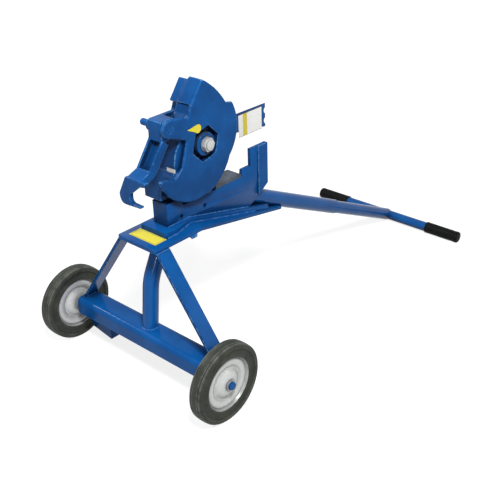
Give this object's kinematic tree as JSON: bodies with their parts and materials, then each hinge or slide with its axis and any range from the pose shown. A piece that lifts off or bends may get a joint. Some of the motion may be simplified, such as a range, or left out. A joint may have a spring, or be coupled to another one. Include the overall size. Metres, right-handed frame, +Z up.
{
  "type": "mechanical conduit bender",
  "caption": "Wheeled mechanical conduit bender: grooved bending shoe with a pivoting hook on a braced stand, and a long tail ending in a T-shaped ground bar with grips.",
  "frame": {"origin": "bottom centre of the bounding box, on the floor", "axes": "+X from the wheels to the T-bar, +Y from the flange side of the shoe to the upright side, +Z up"},
  "size_m": [1.5206, 0.7524, 0.901],
  "materials": {
    "blue_paint": "gloss enamel over steel and castings",
    "tyre_rubber": "dark grey solid rubber",
    "grip_rubber": "black rubber sleeve",
    "zinc_plate": "zinc plated",
    "bare_steel": "machined and oiled",
    "bronze": "plain bearing bronze",
    "label_yellow": "bare yellow film",
    "chart_white": "bare white sheet with a yellow band"
  },
  "bodies": {
    "frame": {"axle": "bare_steel", "axle_washers": "zinc_plate", "axle_caps": "blue_paint", "base_channel": "blue_paint", "axle_feet": "blue_paint", "near_brace": "blue_paint", "far_brace": "blue_paint", "centre_leg": "blue_paint", "top_plate": "blue_paint", "body_base": "blue_paint", "near_side_plate": "blue_paint", "far_side_plate": "blue_paint", "front_block": "blue_paint", "conduit_seat": "bare_steel", "cheek_strip": "blue_paint", "edge_lug": "blue_paint", "shaft_upright": "blue_paint", "upright_spacer": "blue_paint", "main_shaft": "bare_steel", "shaft_nut": "zinc_plate", "thrust_washer": "bare_steel", "shaft_cap": "blue_paint", "shaft_bolt": "zinc_plate", "tail_sleeve": "blue_paint", "tail_stem": "blue_paint", "t_bar": "blue_paint", "near_grip": "grip_rubber", "far_grip": "grip_rubber", "plate_label": "label_yellow", "chart_arm": "blue_paint", "chart_plate": "chart_white"},
    "near_wheel": {"near_tyre": "tyre_rubber", "near_wheel_hub": "zinc_plate", "near_disc_outer": "zinc_plate", "near_disc_inner": "zinc_plate"},
    "far_wheel": {"far_tyre": "tyre_rubber", "far_wheel_hub": "zinc_plate", "far_disc_outer": "zinc_plate", "far_disc_inner": "zinc_plate"},
    "shoe": {"bending_shoe": "blue_paint", "shoe_bushes": "bronze", "hook_pin": "blue_paint", "index_tab": "zinc_plate", "shoe_marker": "label_yellow"},
    "hook": {"conduit_hook": "blue_paint"}
  },
  "joints": [
    {"name": "near_wheel_spin", "type": "hinge", "parent": "frame", "child": "near_wheel", "pos_m": [-0.6333, -0.3403, 0.127], "axis": [0, 1, 0], "continuous": true},
    {"name": "far_wheel_spin", "type": "hinge", "parent": "frame", "child": "far_wheel", "pos_m": [-0.6333, 0.3403, 0.127], "axis": [0, 1, 0], "continuous": true},
    {"name": "shoe_turn", "type": "hinge", "parent": "frame", "child": "shoe", "pos_m": [-0.3723, 0, 0.705], "axis": [0, 1, 0], "range_deg": [0, 95]},
    {"name": "hook_swing", "type": "hinge", "parent": "shoe", "child": "hook", "pos_m": [-0.5093, 0, 0.789], "axis": [0, 1, 0], "range_deg": [-8, 60]}
  ]
}
